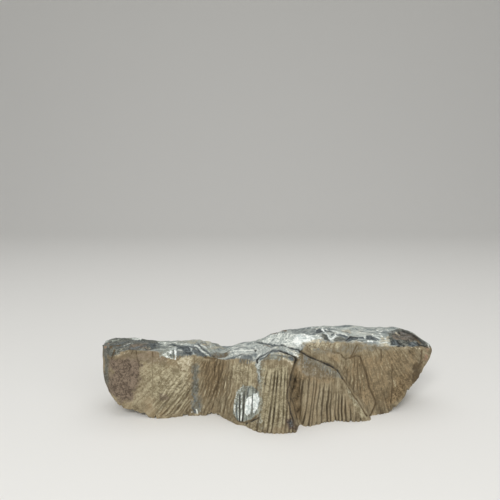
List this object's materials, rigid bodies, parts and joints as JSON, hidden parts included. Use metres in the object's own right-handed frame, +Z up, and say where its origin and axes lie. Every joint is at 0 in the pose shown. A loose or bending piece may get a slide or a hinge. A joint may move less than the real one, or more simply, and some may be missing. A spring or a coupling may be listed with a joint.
{
  "type": "suiseki",
  "caption": "Long, low viewing stone with a fluted cliff in front, a pale ledged plateau on top and a flat foot to rest on.",
  "frame": {"origin": "centre of the bounding box, at the bottom, on the flat foot", "axes": "+X to the right along the stone's length as seen from the front, -Y out of the fluted cliff towards the viewer, +Z up"},
  "size_m": [0.203, 0.0595, 0.0453],
  "materials": {
    "stone": "weathered limestone: brown, earth-stained and dull on the fluted cliff, chalky cream with blue-grey bands on the plateau"
  },
  "bodies": {
    "root": {"stone": "stone"}
  },
  "joints": []
}
